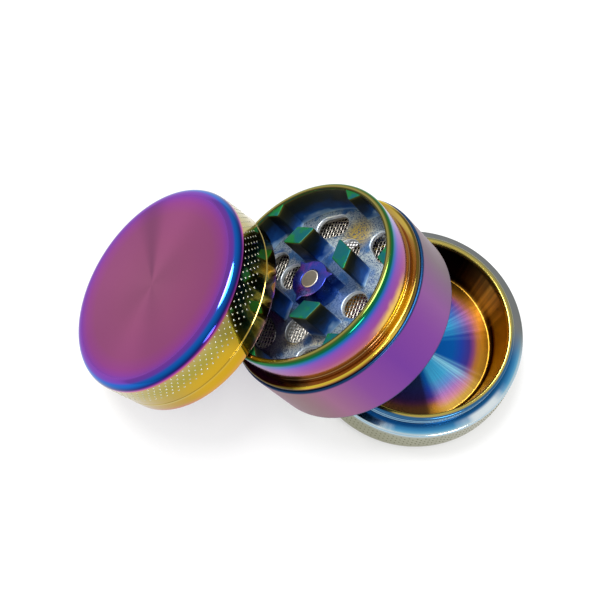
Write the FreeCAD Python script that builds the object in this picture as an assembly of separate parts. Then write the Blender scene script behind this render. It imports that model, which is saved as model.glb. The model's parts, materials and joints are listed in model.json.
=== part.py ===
"""Hand-twist herb grinder, taken apart on a table: catch bowl, sieve with tooth chamber, and lid.

Millimetres, +Z up. The origin is the centre of the catch bowl's base. The bowl lies flat, the sieve and its
tooth chamber lean on the bowl's rim, and the lid leans on the chamber's rim, each with its heel on the table.
Every piece is modelled upright on its own axis and then placed.
"""
import FreeCAD, Part
import math
import os

# Clearances
running_gap = 0.08
seat_gap = 0.05
rest_gap = 0.2

# Shared body sizes
outer_radius = 20.0
edge_break = 0.4
rim_break = 0.35
thread_inset = 1.9
thread_pitch = 1.1
thread_depth = 0.4
thread_flank = 0.35
lid_wall = 1.56

# Catch bowl
bowl_swell = 1.0
bowl_shoulder_swell = 0.5
bowl_height = 12.4
bowl_neck_height = 3.2
bowl_neck_wall = 1.1
bowl_wall_draft = 1.0
bowl_floor_thickness = 1.6
bowl_cove_radius = 1.6
bowl_foot_round = 2.0
bowl_thread_turns = 2

# Sieve body, a ring with a socket for the bowl below and a seat for the screen above
sieve_height = 11.3
socket_relief_height = 0.9
socket_wall = 1.6
socket_thread_turns = 3
ledge_drop = 2.25
ledge_thickness = 1.2
ledge_width = 1.7

# Screen and the ring that holds it down
screen_thickness = 0.3
screen_gap_size = 1.35
screen_wire_width = 0.35
screen_ring_height = 0.4
screen_ring_width = 1.3

# Tooth chamber
neck_wall = 1.2
neck_height = 7.8
neck_rim_round = 0.7
skirt_thread_turns = 1
skirt_thread_depth = 0.25
flange_inset = 0.4
flange_height = 0.95
flange_round = 0.4
flange_groove_depth = 0.3
flange_groove_height = 0.9
flange_groove_belly = 0.1
chamber_floor_lift = 1.05
chamber_floor_thickness = 1.0
floor_overlap = 0.3
inner_tooth_count = 4
inner_tooth_clearance = 1.05
inner_tooth_radial = 3.9
inner_tooth_across = 7.0
inner_tooth_phase = 28.0
wall_tooth_count = 6
wall_tooth_reach = 1.7
wall_tooth_across = 4.8
wall_tooth_phase = 13.5
tooth_top_drop = 0.15
inner_hole_count = 4
inner_hole_offset = 0.2
inner_hole_phase = -16.0
inner_hole_radius = 2.5
outer_hole_count = 6
outer_hole_inset = 3.4
outer_hole_phase = 43.5
outer_hole_radius = 2.2
outer_hole_half_turn = 5.0
hub_radius = 3.6
hub_corner_radius = 4.8
hub_corner_count = 3
hub_corner_phase = 15.0
hub_height = 4.5

# Magnets
magnet_radius = 1.75
magnet_height = 1.9

# Lid
lid_roll_radius = 1.8
lid_roof_thickness = 2.4
lid_groove_height = 2.9
lid_groove_width = 0.3
lid_groove_depth = 0.2
lid_tooth_count = 6
lid_tooth_clearance = 1.1
lid_tooth_radial = 3.0
lid_tooth_across = 5.4
lid_tooth_phase = 0.0
lid_tooth_lift = 0.6
lid_post_radius = 3.0

# Glide ring between the lid and the chamber's rim
glide_ring_width = 1.35
glide_ring_height = 1.65

# Where the heels of the leaning pieces stand on the table
sieve_heel_gap = 6.3
sieve_heel_side = -3.02
sieve_heading = 0.0
lid_heel_step = 28.1
lid_heel_side = -13.3
lid_heading = 4.5

# How finely the resting leans are searched
edge_samples = 720
lean_low = 5.0
lean_high = 85.0
lean_halvings = 40

# Sizes that follow from the ones above
bowl_radius = outer_radius + bowl_swell
bowl_shoulder_radius = outer_radius + bowl_shoulder_swell
bowl_shoulder_height = bowl_height - bowl_neck_height
bowl_thread_radius = outer_radius - thread_inset
bowl_mouth_radius = bowl_thread_radius - bowl_neck_wall
bowl_floor_radius = bowl_mouth_radius - bowl_wall_draft - bowl_cove_radius
socket_radius = outer_radius - socket_wall
socket_thread_radius = bowl_thread_radius - thread_depth + 2 * running_gap
skirt_radius = socket_thread_radius - running_gap
neck_radius = outer_radius - lid_wall - 3 * running_gap
neck_root_radius = neck_radius - flange_groove_depth
chamber_bore = neck_radius - neck_wall
flange_radius = outer_radius - flange_inset
ledge_top = sieve_height - ledge_drop
ledge_radius = socket_thread_radius - ledge_width
screen_radius = socket_thread_radius - running_gap
screen_top = ledge_top + screen_thickness
screen_ring_top = screen_top + screen_ring_height
skirt_bottom = screen_ring_top + 2 * seat_gap
flange_bottom = sieve_height + seat_gap
flange_top = flange_bottom + flange_height
chamber_rim = sieve_height + neck_height
chamber_floor = screen_ring_top + chamber_floor_lift + chamber_floor_thickness
hub_top = chamber_floor + hub_height
wall_tooth_tip = chamber_bore - wall_tooth_reach
lid_tooth_circle = wall_tooth_tip - lid_tooth_clearance - lid_tooth_radial / 2
inner_tooth_circle = lid_tooth_circle - (lid_tooth_radial + inner_tooth_radial) / 2 - inner_tooth_clearance
inner_hole_circle = inner_tooth_circle + inner_hole_offset
outer_hole_circle = chamber_bore - outer_hole_inset
lid_bore = outer_radius - lid_wall
lid_seat = flange_top + seat_gap
glide_ring_bottom = chamber_rim - lid_seat + seat_gap
lid_roof = glide_ring_bottom + glide_ring_height + seat_gap
lid_height = lid_roof + lid_roof_thickness
lid_post_end = hub_top - lid_seat + seat_gap
sieve_heel = (-bowl_radius - sieve_heel_gap, sieve_heel_side)
lid_heel = (sieve_heel[0] - lid_heel_step, lid_heel_side)

AXIS = FreeCAD.Vector(0, 0, 1)
ORIGIN = FreeCAD.Vector(0, 0, 0)
PARTS = "parts"


def turned(steps):
    """A solid turned about Z. Steps are (r, z) corners, or pairs of them: a point on an arc, then its end."""
    edges = []
    here = FreeCAD.Vector(steps[0][0], 0, steps[0][1])
    start = here
    for step in steps[1:]:
        if isinstance(step[0], tuple):
            middle = FreeCAD.Vector(step[0][0], 0, step[0][1])
            there = FreeCAD.Vector(step[1][0], 0, step[1][1])
            edges.append(Part.Arc(here, middle, there).toShape())
        else:
            there = FreeCAD.Vector(step[0], 0, step[1])
            edges.append(Part.LineSegment(here, there).toShape())
        here = there
    edges.append(Part.LineSegment(here, start).toShape())
    return Part.Face(Part.Wire(edges)).revolve(ORIGIN, AXIS, 360)


def quarter(centre, radius, start_degrees):
    """Middle and end of a quarter turn, anticlockwise in (r, z), as one step of a turned outline."""
    points = []
    for turn in (45.0, 90.0):
        angle = math.radians(start_degrees + turn)
        points.append((centre[0] + radius * math.cos(angle), centre[1] + radius * math.sin(angle)))
    return tuple(points)


def ring(inner, outer, bottom, top):
    return turned([(inner, bottom), (outer, bottom), (outer, top), (inner, top)])


def disc(radius, bottom, top):
    return Part.makeCylinder(radius, top - bottom, FreeCAD.Vector(0, 0, bottom), AXIS)


def prism(corners, bottom, top):
    """An upright prism on a polygon of (x, y) corners."""
    points = [FreeCAD.Vector(x, y, bottom) for x, y in corners]
    face = Part.Face(Part.makePolygon(points + points[:1]))
    return face.extrude(FreeCAD.Vector(0, 0, top - bottom))


def around(solid, count, phase):
    """Copies of a solid, evenly spaced about Z, the first turned by the phase in degrees."""
    copies = []
    for index in range(count):
        copy = solid.copy()
        copy.rotate(ORIGIN, AXIS, phase + 360.0 * index / count)
        copies.append(copy)
    return copies


def thread_rings(crest_radius, root_radius, bottom, turns):
    """Vee rings that stand for thread grooves, between a crest radius and a root radius."""
    rings = []
    for turn in range(turns):
        middle = bottom + (turn + 0.5) * thread_pitch
        rings.append(turned([
            (crest_radius, middle - thread_flank),
            (crest_radius, middle + thread_flank),
            (root_radius, middle),
        ]))
    return rings


def rhombus(circle, radial, across):
    return [(circle - radial / 2, 0), (circle, -across / 2), (circle + radial / 2, 0), (circle, across / 2)]


def cove_step(floor_radius, floor, cove):
    """The hollow quarter round from a bowl's wall down to its floor, as one step of a turned outline."""
    reach = cove * math.sqrt(0.5)
    return ((floor_radius + reach, floor + cove - reach), (floor_radius, floor))


def make_catch_bowl():
    """Shallow bowl with a rounded foot, a shoulder, a threaded neck and a coved floor."""
    foot = bowl_foot_round
    cove = bowl_cove_radius
    floor = bowl_floor_thickness
    wall_foot = bowl_floor_radius + cove
    bowl = turned([
        (0, 0),
        (bowl_radius - foot, 0),
        quarter((bowl_radius - foot, foot), foot, -90),
        (bowl_shoulder_radius, bowl_shoulder_height - edge_break),
        (bowl_shoulder_radius - edge_break, bowl_shoulder_height),
        (bowl_thread_radius, bowl_shoulder_height),
        (bowl_thread_radius, bowl_height - rim_break),
        (bowl_thread_radius - rim_break, bowl_height),
        (bowl_mouth_radius + rim_break, bowl_height),
        (bowl_mouth_radius, bowl_height - rim_break),
        (wall_foot, floor + cove),
        cove_step(bowl_floor_radius, floor, cove),
        (0, floor),
    ])
    grooves = thread_rings(bowl_thread_radius, bowl_thread_radius - thread_depth,
                           bowl_shoulder_height + rim_break, bowl_thread_turns)
    return bowl.cut(grooves)


def make_sieve_body():
    """Ring with a threaded socket below, a ledge for the screen, and a seat for the chamber's skirt."""
    body = turned([
        (socket_radius, 0),
        (outer_radius - edge_break, 0),
        (outer_radius, edge_break),
        (outer_radius, sieve_height - edge_break),
        (outer_radius - edge_break, sieve_height),
        (socket_thread_radius, sieve_height),
        (socket_thread_radius, ledge_top),
        (ledge_radius, ledge_top),
        (ledge_radius, ledge_top - ledge_thickness),
        (socket_thread_radius, ledge_top - ledge_thickness),
        (socket_thread_radius, socket_relief_height),
        (socket_radius, socket_relief_height),
    ])
    grooves = thread_rings(socket_thread_radius, socket_thread_radius + thread_depth,
                           socket_relief_height, socket_thread_turns)
    return body.cut(grooves)


def make_mesh_screen():
    """Flat net: one disc face with a grid of square gaps, given its thickness."""
    pitch = screen_gap_size + screen_wire_width
    reach = ledge_radius - screen_wire_width
    cells = int(reach / pitch)
    outline = Part.Wire(Part.makeCircle(screen_radius, FreeCAD.Vector(0, 0, ledge_top)))
    wires = [outline]
    half = screen_gap_size / 2
    for row in range(-cells, cells + 1):
        for column in range(-cells, cells + 1):
            x = column * pitch
            y = row * pitch
            if math.hypot(abs(x) + half, abs(y) + half) > reach:
                continue
            corners = [(x - half, y - half), (x - half, y + half), (x + half, y + half), (x + half, y - half)]
            points = [FreeCAD.Vector(cx, cy, ledge_top) for cx, cy in corners]
            wires.append(Part.makePolygon(points + points[:1]))
    print("screen gaps", len(wires) - 1)
    return Part.Face(wires).extrude(FreeCAD.Vector(0, 0, screen_thickness))


def make_screen_ring():
    return ring(screen_radius - screen_ring_width, screen_radius, screen_top, screen_ring_top)


def outer_slot(bottom, top):
    """A drop hole drawn out along its circle, with round ends."""
    side_inner = outer_hole_circle - outer_hole_radius
    side_outer = outer_hole_circle + outer_hole_radius
    height = top - bottom
    low = FreeCAD.Vector(0, 0, bottom)
    band = Part.makeCylinder(side_outer, height, low, AXIS, 2 * outer_hole_half_turn)
    band = band.cut(disc(side_inner, bottom, top))
    end = disc(outer_hole_radius, bottom, top).translated(FreeCAD.Vector(outer_hole_circle, 0, 0))
    far_end = end.copy()
    far_end.rotate(ORIGIN, AXIS, 2 * outer_hole_half_turn)
    slot = band.fuse([end, far_end])
    slot.rotate(ORIGIN, AXIS, -outer_hole_half_turn)
    return slot


def make_tooth_chamber():
    """Cup with a smooth neck, a round flange, a threaded skirt, teeth, drop holes and a magnet hub."""
    floor_bottom = chamber_floor - chamber_floor_thickness
    groove_top = flange_top + flange_groove_height
    groove_middle = (neck_root_radius - flange_groove_belly, (flange_top + groove_top) / 2)
    shell = turned([
        (chamber_bore, skirt_bottom),
        (skirt_radius, skirt_bottom),
        (skirt_radius, flange_bottom),
        (flange_radius, flange_bottom),
        (flange_radius, flange_top - flange_round),
        quarter((flange_radius - flange_round, flange_top - flange_round), flange_round, 0),
        (neck_root_radius, flange_top),
        (groove_middle, (neck_radius, groove_top)),
        (neck_radius, chamber_rim - neck_rim_round),
        quarter((neck_radius - neck_rim_round, chamber_rim - neck_rim_round), neck_rim_round, 0),
        (chamber_bore, chamber_rim),
    ])
    skirt_grooves = thread_rings(skirt_radius, skirt_radius - skirt_thread_depth,
                                 skirt_bottom + rim_break, skirt_thread_turns)
    floor = disc(chamber_bore + floor_overlap, floor_bottom, chamber_floor)
    inner_hole = disc(inner_hole_radius, floor_bottom, chamber_floor)
    inner_hole = inner_hole.translated(FreeCAD.Vector(inner_hole_circle, 0, 0))
    holes = around(inner_hole, inner_hole_count, inner_hole_phase)
    holes += around(outer_slot(floor_bottom, chamber_floor), outer_hole_count, outer_hole_phase)
    tooth_top = chamber_rim - tooth_top_drop
    inner_tooth = prism(rhombus(inner_tooth_circle, inner_tooth_radial, inner_tooth_across),
                        floor_bottom, tooth_top)
    wall_reach = chamber_bore + floor_overlap
    wall_tooth = prism([(wall_tooth_tip, 0), (wall_reach, -wall_tooth_across / 2),
                        (wall_reach, wall_tooth_across / 2)], floor_bottom, tooth_top)
    inside_neck = disc(wall_reach, floor_bottom, tooth_top)
    teeth = around(inner_tooth, inner_tooth_count, inner_tooth_phase)
    teeth += [tooth.common(inside_neck) for tooth in around(wall_tooth, wall_tooth_count, wall_tooth_phase)]
    corners = []
    for index in range(hub_corner_count):
        angle = math.radians(hub_corner_phase + 360.0 * index / hub_corner_count)
        corners.append((hub_corner_radius * math.cos(angle), hub_corner_radius * math.sin(angle)))
    hub = [disc(hub_radius, floor_bottom, hub_top), prism(corners, floor_bottom, hub_top)]
    magnet_well = disc(magnet_radius + running_gap / 2, hub_top - magnet_height - seat_gap, hub_top)
    pierced_floor = floor.cut(holes)
    return shell.cut(skirt_grooves).fuse([pierced_floor] + teeth + hub).cut(magnet_well).removeSplitter()


def make_chamber_magnet():
    return disc(magnet_radius, hub_top - magnet_height - seat_gap, hub_top - seat_gap)


def make_lid():
    """Cap with a rolled top edge, a fine groove round its side, teeth inside and a post for the magnet."""
    roll = lid_roll_radius
    shell = turned([
        (lid_bore, 0),
        (outer_radius - rim_break, 0),
        (outer_radius, rim_break),
        (outer_radius, lid_height - roll),
        quarter((outer_radius - roll, lid_height - roll), roll, 0),
        (0, lid_height),
        (0, lid_roof),
        (lid_bore, lid_roof),
    ])
    half = lid_groove_width / 2
    groove = ring(outer_radius - lid_groove_depth, outer_radius + lid_groove_depth,
                  lid_groove_height - half, lid_groove_height + half)
    tooth = prism(rhombus(lid_tooth_circle, lid_tooth_radial, lid_tooth_across), lid_tooth_lift, lid_roof)
    teeth = around(tooth, lid_tooth_count, lid_tooth_phase)
    post = disc(lid_post_radius, lid_post_end, lid_roof)
    magnet_well = disc(magnet_radius + running_gap / 2, lid_post_end, lid_post_end + magnet_height + seat_gap)
    return shell.cut(groove).fuse(teeth + [post]).cut(magnet_well).removeSplitter()


def make_lid_magnet():
    return disc(magnet_radius, lid_post_end + seat_gap, lid_post_end + seat_gap + magnet_height)


def make_glide_ring():
    glide_outer = lid_bore - running_gap
    return ring(glide_outer - glide_ring_width, glide_outer, glide_ring_bottom, lid_roof - seat_gap)


def placed(heel, heading, lean):
    """Placement of an upright piece tipped by the lean, with the heel of its lower edge on the table."""
    tip = FreeCAD.Rotation(FreeCAD.Vector(0, 1, 0), -lean)
    turn = FreeCAD.Rotation(AXIS, heading)
    rotation = turn.multiply(tip)
    base = FreeCAD.Vector(heel[0], heel[1], 0) - rotation.multVec(FreeCAD.Vector(-outer_radius, 0, 0))
    return FreeCAD.Placement(base, rotation)


def edge_points(placement, radii):
    """Points round a placed piece's lower edge, at the given radii."""
    points = []
    for radius in radii:
        for step in range(edge_samples):
            angle = 2 * math.pi * step / edge_samples
            local = FreeCAD.Vector(radius * math.cos(angle), radius * math.sin(angle), 0)
            points.append(placement.multVec(local))
    return points


def clear_of_bowl(placement):
    """Least height of the sieve's lower edge over the bowl's rim and shoulder."""
    gaps = []
    for point in edge_points(placement, (socket_radius, outer_radius)):
        reach = math.hypot(point.x, point.y)
        if reach < bowl_thread_radius + rest_gap:
            gaps.append(point.z - bowl_height)
        elif reach < bowl_radius + rest_gap:
            gaps.append(point.z - bowl_shoulder_height)
    return min(gaps)


def clear_of_chamber(placement):
    """Least height of the lid's lower edge over the plane of the chamber's rim."""
    to_chamber = sieve_placement.inverse()
    gaps = []
    for point in edge_points(placement, (lid_bore, outer_radius)):
        local = to_chamber.multVec(point)
        if math.hypot(local.x, local.y) < neck_radius + rest_gap:
            gaps.append(local.z - chamber_rim)
    return min(gaps)


def settled(heel, heading, clearance):
    """Lean, in degrees, at which a piece tipped on its heel rests one rest gap from what carries it."""
    low = lean_low
    high = lean_high
    for _ in range(lean_halvings):
        lean = (low + high) / 2
        if clearance(placed(heel, heading, lean)) < rest_gap:
            low = lean
        else:
            high = lean
    return high


sieve_lean = settled(sieve_heel, sieve_heading, clear_of_bowl)
sieve_placement = placed(sieve_heel, sieve_heading, sieve_lean)
lid_lean = settled(lid_heel, lid_heading, clear_of_chamber)
lid_placement = placed(lid_heel, lid_heading, lid_lean)
flat = FreeCAD.Placement()

PIECES = [
    ("catch_bowl", make_catch_bowl, flat),
    ("sieve_body", make_sieve_body, sieve_placement),
    ("mesh_screen", make_mesh_screen, sieve_placement),
    ("screen_ring", make_screen_ring, sieve_placement),
    ("tooth_chamber", make_tooth_chamber, sieve_placement),
    ("chamber_magnet", make_chamber_magnet, sieve_placement),
    ("lid", make_lid, lid_placement),
    ("lid_magnet", make_lid_magnet, lid_placement),
    ("glide_ring", make_glide_ring, lid_placement),
]

os.makedirs(PARTS, exist_ok=True)
for name, make, placement in PIECES:
    shape = make()
    shape.Placement = placement.multiply(shape.Placement)
    print(name, "solids", len(shape.Solids), "valid", shape.isValid(), "volume", round(shape.Volume, 1))
    shape.exportStep(f"{PARTS}/{name}.step")
for label, lean, placement in (("sieve", sieve_lean, sieve_placement), ("lid", lid_lean, lid_placement)):
    axis = placement.Rotation.multVec(AXIS)
    print(label, "lean", round(lean, 3), "base", placement.Base, "axis", axis)
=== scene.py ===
"""Looks of a hand-twist herb grinder, taken apart on a pale floor.

The lid leans on the tooth chamber, which sits on its sieve, and the sieve leans on the catch bowl. Each piece
is modelled upright on its own axis in millimetres, then placed where the frame's joints say.
"""
import bmesh
import bpy
import json
import math
from mathutils import Matrix, Vector


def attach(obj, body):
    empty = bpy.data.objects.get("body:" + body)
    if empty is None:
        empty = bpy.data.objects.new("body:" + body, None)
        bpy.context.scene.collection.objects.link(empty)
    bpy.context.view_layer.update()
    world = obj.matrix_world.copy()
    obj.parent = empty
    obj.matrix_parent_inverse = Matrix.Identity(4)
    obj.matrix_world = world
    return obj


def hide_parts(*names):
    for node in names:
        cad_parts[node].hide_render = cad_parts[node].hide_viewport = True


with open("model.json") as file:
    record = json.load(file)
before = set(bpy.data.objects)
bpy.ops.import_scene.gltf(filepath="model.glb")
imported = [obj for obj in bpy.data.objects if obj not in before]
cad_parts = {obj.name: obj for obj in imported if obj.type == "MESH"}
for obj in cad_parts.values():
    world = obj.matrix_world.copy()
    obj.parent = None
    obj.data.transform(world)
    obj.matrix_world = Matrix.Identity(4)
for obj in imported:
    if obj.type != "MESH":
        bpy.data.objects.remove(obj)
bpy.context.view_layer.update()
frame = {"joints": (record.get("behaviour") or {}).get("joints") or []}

MM = 0.001
DEGREES = 180.0 / math.pi

# How finely round shapes are drawn, the most of an edge that a round may take, and what counts as a sharp edge
SIDES = 256
ARC_STEP_DEGREES = 9
ROLL_STEP_DEGREES = 6
LONGEST_REACH = 0.6
SHARP_DEGREES = 40.0
ROUND_DEGREES = 80.0

# Sizes shared with the solids, in millimetres. First the clearances, and what several pieces share
RUNNING_GAP = 0.08
SEAT_GAP = 0.05
OUTER_RADIUS = 20.0
EDGE_BREAK = 0.4
RIM_BREAK = 0.35
THREAD_INSET = 1.9
THREAD_PITCH = 1.1
THREAD_DEPTH = 0.4
LID_WALL = 1.56

# Catch bowl
BOWL_SWELL = 1.0
BOWL_SHOULDER_SWELL = 0.5
BOWL_HEIGHT = 12.4
BOWL_NECK_HEIGHT = 3.2
BOWL_NECK_WALL = 1.1
BOWL_FLOOR = 1.6
BOWL_FOOT_ROUND = 2.0
BOWL_THREAD_TURNS = 2

# Sieve body, its screen and the ring that holds the screen
SIEVE_HEIGHT = 11.3
SOCKET_WALL = 1.6
SOCKET_RELIEF = 0.9
SOCKET_THREAD_TURNS = 3
LEDGE_DROP = 2.25
LEDGE_THICKNESS = 1.2
LEDGE_WIDTH = 1.7
SCREEN_THICKNESS = 0.3
SCREEN_RING_HEIGHT = 0.4
SCREEN_RING_WIDTH = 1.3

# Tooth chamber
NECK_WALL = 1.2
NECK_HEIGHT = 7.8
NECK_RIM_ROUND = 0.7
FLANGE_INSET = 0.4
FLANGE_HEIGHT = 0.95
FLANGE_ROUND = 0.4
GROOVE_HEIGHT = 0.9
CHAMBER_FLOOR_LIFT = 1.05
CHAMBER_FLOOR_THICKNESS = 1.0
INNER_TOOTH_COUNT = 4
INNER_TOOTH_CLEARANCE = 1.05
INNER_TOOTH_RADIAL = 3.9
INNER_TOOTH_ACROSS = 7.0
INNER_TOOTH_PHASE = 28.0
WALL_TOOTH_COUNT = 6
WALL_TOOTH_REACH = 1.7
WALL_TOOTH_PHASE = 13.5
TOOTH_TOP_DROP = 0.15
INNER_HOLE_COUNT = 4
INNER_HOLE_OFFSET = 0.2
INNER_HOLE_PHASE = -16.0
INNER_HOLE_RADIUS = 2.5
OUTER_HOLE_COUNT = 6
OUTER_HOLE_INSET = 3.4
OUTER_HOLE_PHASE = 43.5
OUTER_HOLE_RADIUS = 2.2
OUTER_HOLE_HALF_TURN = 5.0
HUB_RADIUS = 3.6
HUB_CORNER_RADIUS = 4.8
HUB_CORNER_COUNT = 3
HUB_CORNER_PHASE = 15.0
HUB_HEIGHT = 4.5
MAGNET_RADIUS = 1.75
MAGNET_HEIGHT = 1.9

# Lid and glide ring
LID_ROLL = 1.8
LID_ROOF_THICKNESS = 2.4
LID_GROOVE_HEIGHT = 2.9
LID_GROOVE_WIDTH = 0.3
LID_GROOVE_DEPTH = 0.2
LID_TOOTH_COUNT = 6
LID_TOOTH_CLEARANCE = 1.1
LID_TOOTH_RADIAL = 3.0
LID_TOOTH_ACROSS = 5.4
LID_TOOTH_PHASE = 0.0
LID_TOOTH_LIFT = 0.6
LID_POST_RADIUS = 3.0
GLIDE_RING_WIDTH = 1.35
GLIDE_RING_HEIGHT = 1.65

# Sizes of the looks alone, in millimetres. The solids have slightly other ones for the thread's flanks, the
# bowl's wall and cove, the groove under the neck, the wall teeth and the floor's overlap, and no studs and no
# woven wire
THREAD_FLANK = 0.352
BOWL_WALL_SLOPE = 1.15
BOWL_COVE = 0.6
GROOVE_DEPTH = 0.35
GROOVE_BLEND = 0.3
WALL_TOOTH_ROOT = 0.2
WALL_TOOTH_HALF_WIDTH = 2.3
FLOOR_OVERLAP = 0.25
ROOT_DEPTH = 0.5
FACE_SKIN = 0.1
BOWL_STUD_LEVELS = [3.2 + 0.8 * row for row in range(6)]
BOWL_STUD_COLUMNS = 84
BOWL_STUD_RADIUS = 0.18
BOWL_STUD_HEIGHT = 0.06
LID_STUD_LEVELS = [8.6 - 0.85 * row for row in range(5)]
LID_STUD_COLUMNS = 92
LID_STUD_RADIUS = 0.19
LID_STUD_HEIGHT = 0.07
STUD_SINK = 0.03
WIRE_RADIUS = 0.1
WIRE_PITCH = 0.66
WIRE_WAVE = 0.055
WIRE_HALF_HEIGHT = 0.08
SCREEN_INSET = 0.1

# How far a second finish stops short of the bowl's rim, and goes past the mouth's and the bore's radius
RIM_MARGIN = 0.05
WALL_MARGIN = 0.1
BORE_MARGIN = 0.02

# Rounds on edges and corners, in millimetres
FINE_ROUND = 0.1
TOP_ROUND = 0.12
SOFT_ROUND = 0.15
FULL_ROUND = 0.2
CREASE_ROUND = 0.05
HOLE_LIP_ROUND = 0.32
INNER_TOOTH_ROUND = 0.35
POINT_ROUND = 0.3
ROOF_ROUND = 0.3
SCREEN_RING_ROUND = 0.08
THREAD_LIP_ROUND = 0.08
LID_GROOVE_LIP_ROUND = 0.06
LID_GROOVE_ROOT_ROUND = 0.08

# Sizes that follow from the ones above
BOWL_RADIUS = OUTER_RADIUS + BOWL_SWELL
BOWL_SHOULDER_RADIUS = OUTER_RADIUS + BOWL_SHOULDER_SWELL
BOWL_SHOULDER_HEIGHT = BOWL_HEIGHT - BOWL_NECK_HEIGHT
BOWL_THREAD_RADIUS = OUTER_RADIUS - THREAD_INSET
BOWL_MOUTH_RADIUS = BOWL_THREAD_RADIUS - BOWL_NECK_WALL
BOWL_WALL_FOOT = BOWL_MOUTH_RADIUS - BOWL_WALL_SLOPE
SOCKET_RADIUS = OUTER_RADIUS - SOCKET_WALL
SOCKET_THREAD_RADIUS = BOWL_THREAD_RADIUS - THREAD_DEPTH + 2 * RUNNING_GAP
SKIRT_RADIUS = SOCKET_THREAD_RADIUS - RUNNING_GAP
LEDGE_TOP = SIEVE_HEIGHT - LEDGE_DROP
LEDGE_RADIUS = SOCKET_THREAD_RADIUS - LEDGE_WIDTH
SCREEN_RADIUS = SOCKET_THREAD_RADIUS - RUNNING_GAP
SCREEN_TOP = LEDGE_TOP + SCREEN_THICKNESS
SCREEN_RING_TOP = SCREEN_TOP + SCREEN_RING_HEIGHT
NECK_RADIUS = OUTER_RADIUS - LID_WALL - 3 * RUNNING_GAP
CHAMBER_BORE = NECK_RADIUS - NECK_WALL
CHAMBER_RIM = SIEVE_HEIGHT + NECK_HEIGHT
CHAMBER_FLOOR = SCREEN_RING_TOP + CHAMBER_FLOOR_LIFT + CHAMBER_FLOOR_THICKNESS
SKIRT_BOTTOM = SCREEN_RING_TOP + 2 * SEAT_GAP
FLANGE_RADIUS = OUTER_RADIUS - FLANGE_INSET
FLANGE_BOTTOM = SIEVE_HEIGHT + SEAT_GAP
FLANGE_TOP = FLANGE_BOTTOM + FLANGE_HEIGHT
GROOVE_RADIUS = NECK_RADIUS - GROOVE_DEPTH
GROOVE_TOP = FLANGE_TOP + GROOVE_HEIGHT
TOOTH_TOP = CHAMBER_RIM - TOOTH_TOP_DROP
WALL_TOOTH_TIP = CHAMBER_BORE - WALL_TOOTH_REACH
LID_TOOTH_CIRCLE = WALL_TOOTH_TIP - LID_TOOTH_CLEARANCE - LID_TOOTH_RADIAL / 2
INNER_TOOTH_CIRCLE = LID_TOOTH_CIRCLE - (LID_TOOTH_RADIAL + INNER_TOOTH_RADIAL) / 2 - INNER_TOOTH_CLEARANCE
INNER_HOLE_CIRCLE = INNER_TOOTH_CIRCLE + INNER_HOLE_OFFSET
OUTER_HOLE_CIRCLE = CHAMBER_BORE - OUTER_HOLE_INSET
HUB_TOP = CHAMBER_FLOOR + HUB_HEIGHT
MAGNET_WELL_RADIUS = MAGNET_RADIUS + RUNNING_GAP / 2
LID_BORE = OUTER_RADIUS - LID_WALL
LID_SEAT = FLANGE_TOP + SEAT_GAP
LID_POST_END = HUB_TOP - LID_SEAT + SEAT_GAP
GLIDE_RING_RADIUS = LID_BORE - RUNNING_GAP
GLIDE_RING_BOTTOM = CHAMBER_RIM - LID_SEAT + SEAT_GAP
GLIDE_RING_TOP = GLIDE_RING_BOTTOM + GLIDE_RING_HEIGHT
LID_ROOF = GLIDE_RING_TOP + SEAT_GAP
LID_HEIGHT = LID_ROOF + LID_ROOF_THICKNESS
FACE_RADIUS = OUTER_RADIUS - LID_ROLL

# Camera, placed by matching the photograph's outlines: millimetres, degrees of roll, and lens length
CAMERA_PLACE = (-7.694, -69.23, 208.224)
CAMERA_AIM = (-22.732, -2.302, 10.0)
CAMERA_ROLL = 7.485
CAMERA_LENS = 66.123

# Stage, in metres
FLOOR_SPAN = 3.0
FLOOR_GLOW = 0.8
SHADE_REACH = 0.025
SKY_STRENGTH = 0.75
LAMP_AIM = (-0.02, 0, 0.01)
WHITE = (1.0, 1.0, 1.0, 1.0)
PAPER = (0.9, 0.9, 0.9, 1.0)


def upright(joint_name):
    """Where an upright piece goes: its own Z along a joint's axis, its own X uphill."""
    joint = next(j for j in frame["joints"] if j["name"] == joint_name)
    axis = Vector(joint["axis"]).normalized()
    uphill = (Vector((0, 0, 1)) - axis * axis.z).normalized()
    across = axis.cross(uphill)
    place = Matrix((uphill, across, axis)).transposed().to_4x4()
    place.translation = Vector(joint["pos_m"])
    return place


BOWL_PLACE = Matrix.Identity(4)
SIEVE_PLACE = upright("chamber_unscrew")
LID_PLACE = upright("lid_turn")


# Shader arithmetic

class Tone:
    """A socket of a finish. Arithmetic on it adds Math nodes."""

    def __init__(self, finish, socket):
        self.finish = finish
        self.socket = socket

    def math(self, operation, *values):
        return self.finish.node("ShaderNodeMath", {"operation": operation}, dict(enumerate(values)))

    def __add__(self, other):
        return self.math("ADD", self, other)

    def __radd__(self, other):
        return self.math("ADD", other, self)

    def __sub__(self, other):
        return self.math("SUBTRACT", self, other)

    def __rsub__(self, other):
        return self.math("SUBTRACT", other, self)

    def __mul__(self, other):
        return self.math("MULTIPLY", self, other)

    def __rmul__(self, other):
        return self.math("MULTIPLY", other, self)

    def __truediv__(self, other):
        return self.math("DIVIDE", self, other)

    def __rtruediv__(self, other):
        return self.math("DIVIDE", other, self)

    def __pow__(self, other):
        return self.math("POWER", self, other)

    def __rpow__(self, other):
        return self.math("POWER", other, self)

    def above(self, limit):
        return self.math("GREATER_THAN", self, limit)


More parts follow.
